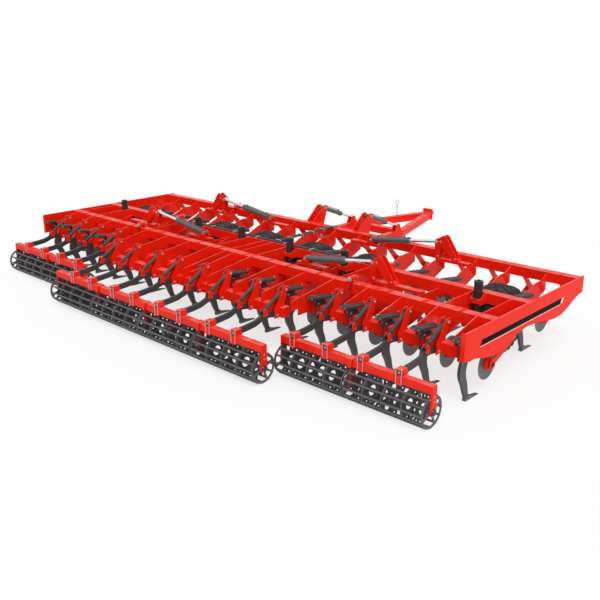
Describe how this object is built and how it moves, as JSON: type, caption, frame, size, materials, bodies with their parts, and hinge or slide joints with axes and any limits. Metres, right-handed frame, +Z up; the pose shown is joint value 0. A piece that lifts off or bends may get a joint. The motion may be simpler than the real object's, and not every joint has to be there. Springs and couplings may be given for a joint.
{
  "type": "folding stubble cultivator",
  "caption": "Trailed folding stubble cultivator: red frame in three sections, sprung tines in two rows, coulter discs, lift wheels and trailing cage rollers",
  "frame": {"origin": "middle of the bounding box on the floor", "axes": "+X right, +Y forward to the hitch, +Z up"},
  "size_m": [9.83, 7.9888, 1.365],
  "materials": {
    "red": "gloss red paint",
    "black": "satin black paint",
    "disc": "dark satin steel",
    "tyre": "matt black rubber",
    "rim": "light grey paint",
    "barrel": "dark grey paint",
    "rod": "polished chrome",
    "zinc": "zinc plated"
  },
  "bodies": {
    "centre": {"frame_centre": "red", "webs_centre": "red", "tines_centre": "black", "springs_centre": "black", "disc_arms_centre": "red", "roller_arms_centre": "black", "roller_beam_centre": "red", "lift_cylinders_centre": "black", "hydraulic_lines": "black"},
    "wing_left": {"frame_left": "red", "webs_left": "red", "tines_left": "black", "springs_left": "black", "disc_arms_left": "red", "roller_arms_left": "black", "roller_beam_left": "red", "lift_cylinders_left": "black"},
    "wing_right": {"frame_right": "red", "webs_right": "red", "tines_right": "black", "springs_right": "black", "disc_arms_right": "red", "roller_arms_right": "black", "roller_beam_right": "red", "lift_cylinders_right": "black"},
    "fold_barrels_left": {"fold_barrels_left": "barrel"},
    "fold_rods_left": {"fold_rods_left": "rod"},
    "fold_barrels_right": {"fold_barrels_right": "barrel"},
    "fold_rods_right": {"fold_rods_right": "rod"},
    "drawbar": {"drawbar": "red", "hose_guide": "zinc"},
    "level_barrels": {"level_barrels": "barrel"},
    "level_rods": {"level_rods": "rod"},
    "rear_discs_centre": {"rear_discs_centre": "disc"},
    "rear_discs_left": {"rear_discs_left": "disc"},
    "rear_discs_right": {"rear_discs_right": "disc"},
    "front_discs_centre": {"front_discs_centre": "disc"},
    "front_discs_left": {"front_discs_left": "disc"},
    "front_discs_right": {"front_discs_right": "disc"},
    "roller_centre_1": {"roller_centre_1": "black"},
    "roller_centre_2": {"roller_centre_2": "black"},
    "roller_centre_3": {"roller_centre_3": "black"},
    "roller_centre_4": {"roller_centre_4": "black"},
    "roller_left_1": {"roller_left_1": "black"},
    "roller_left_2": {"roller_left_2": "black"},
    "roller_right_1": {"roller_right_1": "black"},
    "roller_right_2": {"roller_right_2": "black"},
    "wheel_left": {"tyre_left": "tyre", "rim_left": "rim"},
    "wheel_centre_1": {"tyre_centre_1": "tyre", "rim_centre_1": "rim"},
    "wheel_centre_2": {"tyre_centre_2": "tyre", "rim_centre_2": "rim"},
    "wheel_centre_3": {"tyre_centre_3": "tyre", "rim_centre_3": "rim"},
    "wheel_centre_4": {"tyre_centre_4": "tyre", "rim_centre_4": "rim"},
    "wheel_right": {"tyre_right": "tyre", "rim_right": "rim"}
  },
  "joints": [
    {"name": "fold_left", "type": "hinge", "parent": "centre", "child": "wing_left", "pos_m": [-2.568, 0, 1.077], "axis": [0, 1, 0], "range_deg": [0, 90]},
    {"name": "fold_barrel_turn_left", "type": "hinge", "parent": "centre", "child": "fold_barrels_left", "pos_m": [-1.26, 0, 1.045], "axis": [0, 1, 0], "range_deg": [-4.35, 0.2]},
    {"name": "fold_rod_slide_left", "type": "slide", "parent": "fold_barrels_left", "child": "fold_rods_left", "axis": [-0.9896, 0, 0.1436], "range_m": [-0.2273, 0.001]},
    {"name": "fold_right", "type": "hinge", "parent": "centre", "child": "wing_right", "pos_m": [2.568, 0, 1.077], "axis": [0, -1, 0], "range_deg": [0, 90]},
    {"name": "fold_barrel_turn_right", "type": "hinge", "parent": "centre", "child": "fold_barrels_right", "pos_m": [1.26, 0, 1.045], "axis": [0, -1, 0], "range_deg": [-4.35, 0.2]},
    {"name": "fold_rod_slide_right", "type": "slide", "parent": "fold_barrels_right", "child": "fold_rods_right", "axis": [0.9896, 0, 0.1436], "range_m": [-0.2273, 0.001]},
    {"name": "drawbar_pitch", "type": "hinge", "parent": "centre", "child": "drawbar", "pos_m": [0, 0.8055, 0.725], "axis": [1, 0, 0], "range_deg": [-8, 8]},
    {"name": "level_barrel_turn", "type": "hinge", "parent": "centre", "child": "level_barrels", "pos_m": [0, 0.9105, 1.25], "axis": [1, 0, 0], "range_deg": [-8, 8]},
    {"name": "level_rod_slide", "type": "slide", "parent": "level_barrels", "child": "level_rods", "axis": [0, 0.9388, -0.3445], "range_m": [-0.08, 0.08]},
    {"name": "rear_discs_centre_spin", "type": "hinge", "parent": "centre", "child": "rear_discs_centre", "pos_m": [0, -1.8845, 0.36], "axis": [1, 0, 0], "continuous": true},
    {"name": "rear_discs_left_spin", "type": "hinge", "parent": "wing_left", "child": "rear_discs_left", "pos_m": [0, -1.8845, 0.36], "axis": [1, 0, 0], "continuous": true},
    {"name": "rear_discs_right_spin", "type": "hinge", "parent": "wing_right", "child": "rear_discs_right", "pos_m": [0, -1.8845, 0.36], "axis": [1, 0, 0], "continuous": true},
    {"name": "front_discs_centre_spin", "type": "hinge", "parent": "centre", "child": "front_discs_centre", "pos_m": [0, 0.2355, 0.36], "axis": [1, 0, 0], "continuous": true},
    {"name": "front_discs_left_spin", "type": "hinge", "parent": "wing_left", "child": "front_discs_left", "pos_m": [0, 0.2355, 0.36], "axis": [1, 0, 0], "continuous": true},
    {"name": "front_discs_right_spin", "type": "hinge", "parent": "wing_right", "child": "front_discs_right", "pos_m": [0, 0.2355, 0.36], "axis": [1, 0, 0], "continuous": true},
    {"name": "roller_centre_1_spin", "type": "hinge", "parent": "centre", "child": "roller_centre_1", "pos_m": [0, -3.7745, 0.22], "axis": [1, 0, 0], "continuous": true},
    {"name": "roller_centre_2_spin", "type": "hinge", "parent": "centre", "child": "roller_centre_2", "pos_m": [0, -3.7745, 0.22], "axis": [1, 0, 0], "continuous": true},
    {"name": "roller_centre_3_spin", "type": "hinge", "parent": "centre", "child": "roller_centre_3", "pos_m": [0, -3.7745, 0.22], "axis": [1, 0, 0], "continuous": true},
    {"name": "roller_centre_4_spin", "type": "hinge", "parent": "centre", "child": "roller_centre_4", "pos_m": [0, -3.7745, 0.22], "axis": [1, 0, 0], "continuous": true},
    {"name": "roller_left_1_spin", "type": "hinge", "parent": "wing_left", "child": "roller_left_1", "pos_m": [0, -3.3145, 0.22], "axis": [1, 0, 0], "continuous": true},
    {"name": "roller_left_2_spin", "type": "hinge", "parent": "wing_left", "child": "roller_left_2", "pos_m": [0, -3.3145, 0.22], "axis": [1, 0, 0], "continuous": true},
    {"name": "roller_right_1_spin", "type": "hinge", "parent": "wing_right", "child": "roller_right_1", "pos_m": [0, -3.3145, 0.22], "axis": [1, 0, 0], "continuous": true},
    {"name": "roller_right_2_spin", "type": "hinge", "parent": "wing_right", "child": "roller_right_2", "pos_m": [0, -3.3145, 0.22], "axis": [1, 0, 0], "continuous": true},
    {"name": "wheel_left_spin", "type": "hinge", "parent": "wing_left", "child": "wheel_left", "pos_m": [-4.2, -0.59497, 0.505], "axis": [1, 0, 0], "continuous": true},
    {"name": "wheel_centre_1_spin", "type": "hinge", "parent": "centre", "child": "wheel_centre_1", "pos_m": [-1.8, -0.59497, 0.505], "axis": [1, 0, 0], "continuous": true},
    {"name": "wheel_centre_2_spin", "type": "hinge", "parent": "centre", "child": "wheel_centre_2", "pos_m": [-0.6, -0.59497, 0.505], "axis": [1, 0, 0], "continuous": true},
    {"name": "wheel_centre_3_spin", "type": "hinge", "parent": "centre", "child": "wheel_centre_3", "pos_m": [0.6, -0.59497, 0.505], "axis": [1, 0, 0], "continuous": true},
    {"name": "wheel_centre_4_spin", "type": "hinge", "parent": "centre", "child": "wheel_centre_4", "pos_m": [1.8, -0.59497, 0.505], "axis": [1, 0, 0], "continuous": true},
    {"name": "wheel_right_spin", "type": "hinge", "parent": "wing_right", "child": "wheel_right", "pos_m": [4.2, -0.59497, 0.505], "axis": [1, 0, 0], "continuous": true}
  ],
  "couplings": [
    {"joint": "fold_barrel_turn_left", "follows": "fold_left", "ratio": -0.04612},
    {"joint": "fold_rod_slide_left", "follows": "fold_left", "m_per_rad": -0.14405},
    {"joint": "fold_barrel_turn_right", "follows": "fold_right", "ratio": -0.04612},
    {"joint": "fold_rod_slide_right", "follows": "fold_right", "m_per_rad": -0.14405},
    {"joint": "level_barrel_turn", "follows": "drawbar_pitch", "ratio": 0.92028},
    {"joint": "level_rod_slide", "follows": "drawbar_pitch", "m_per_rad": -0.5277}
  ]
}
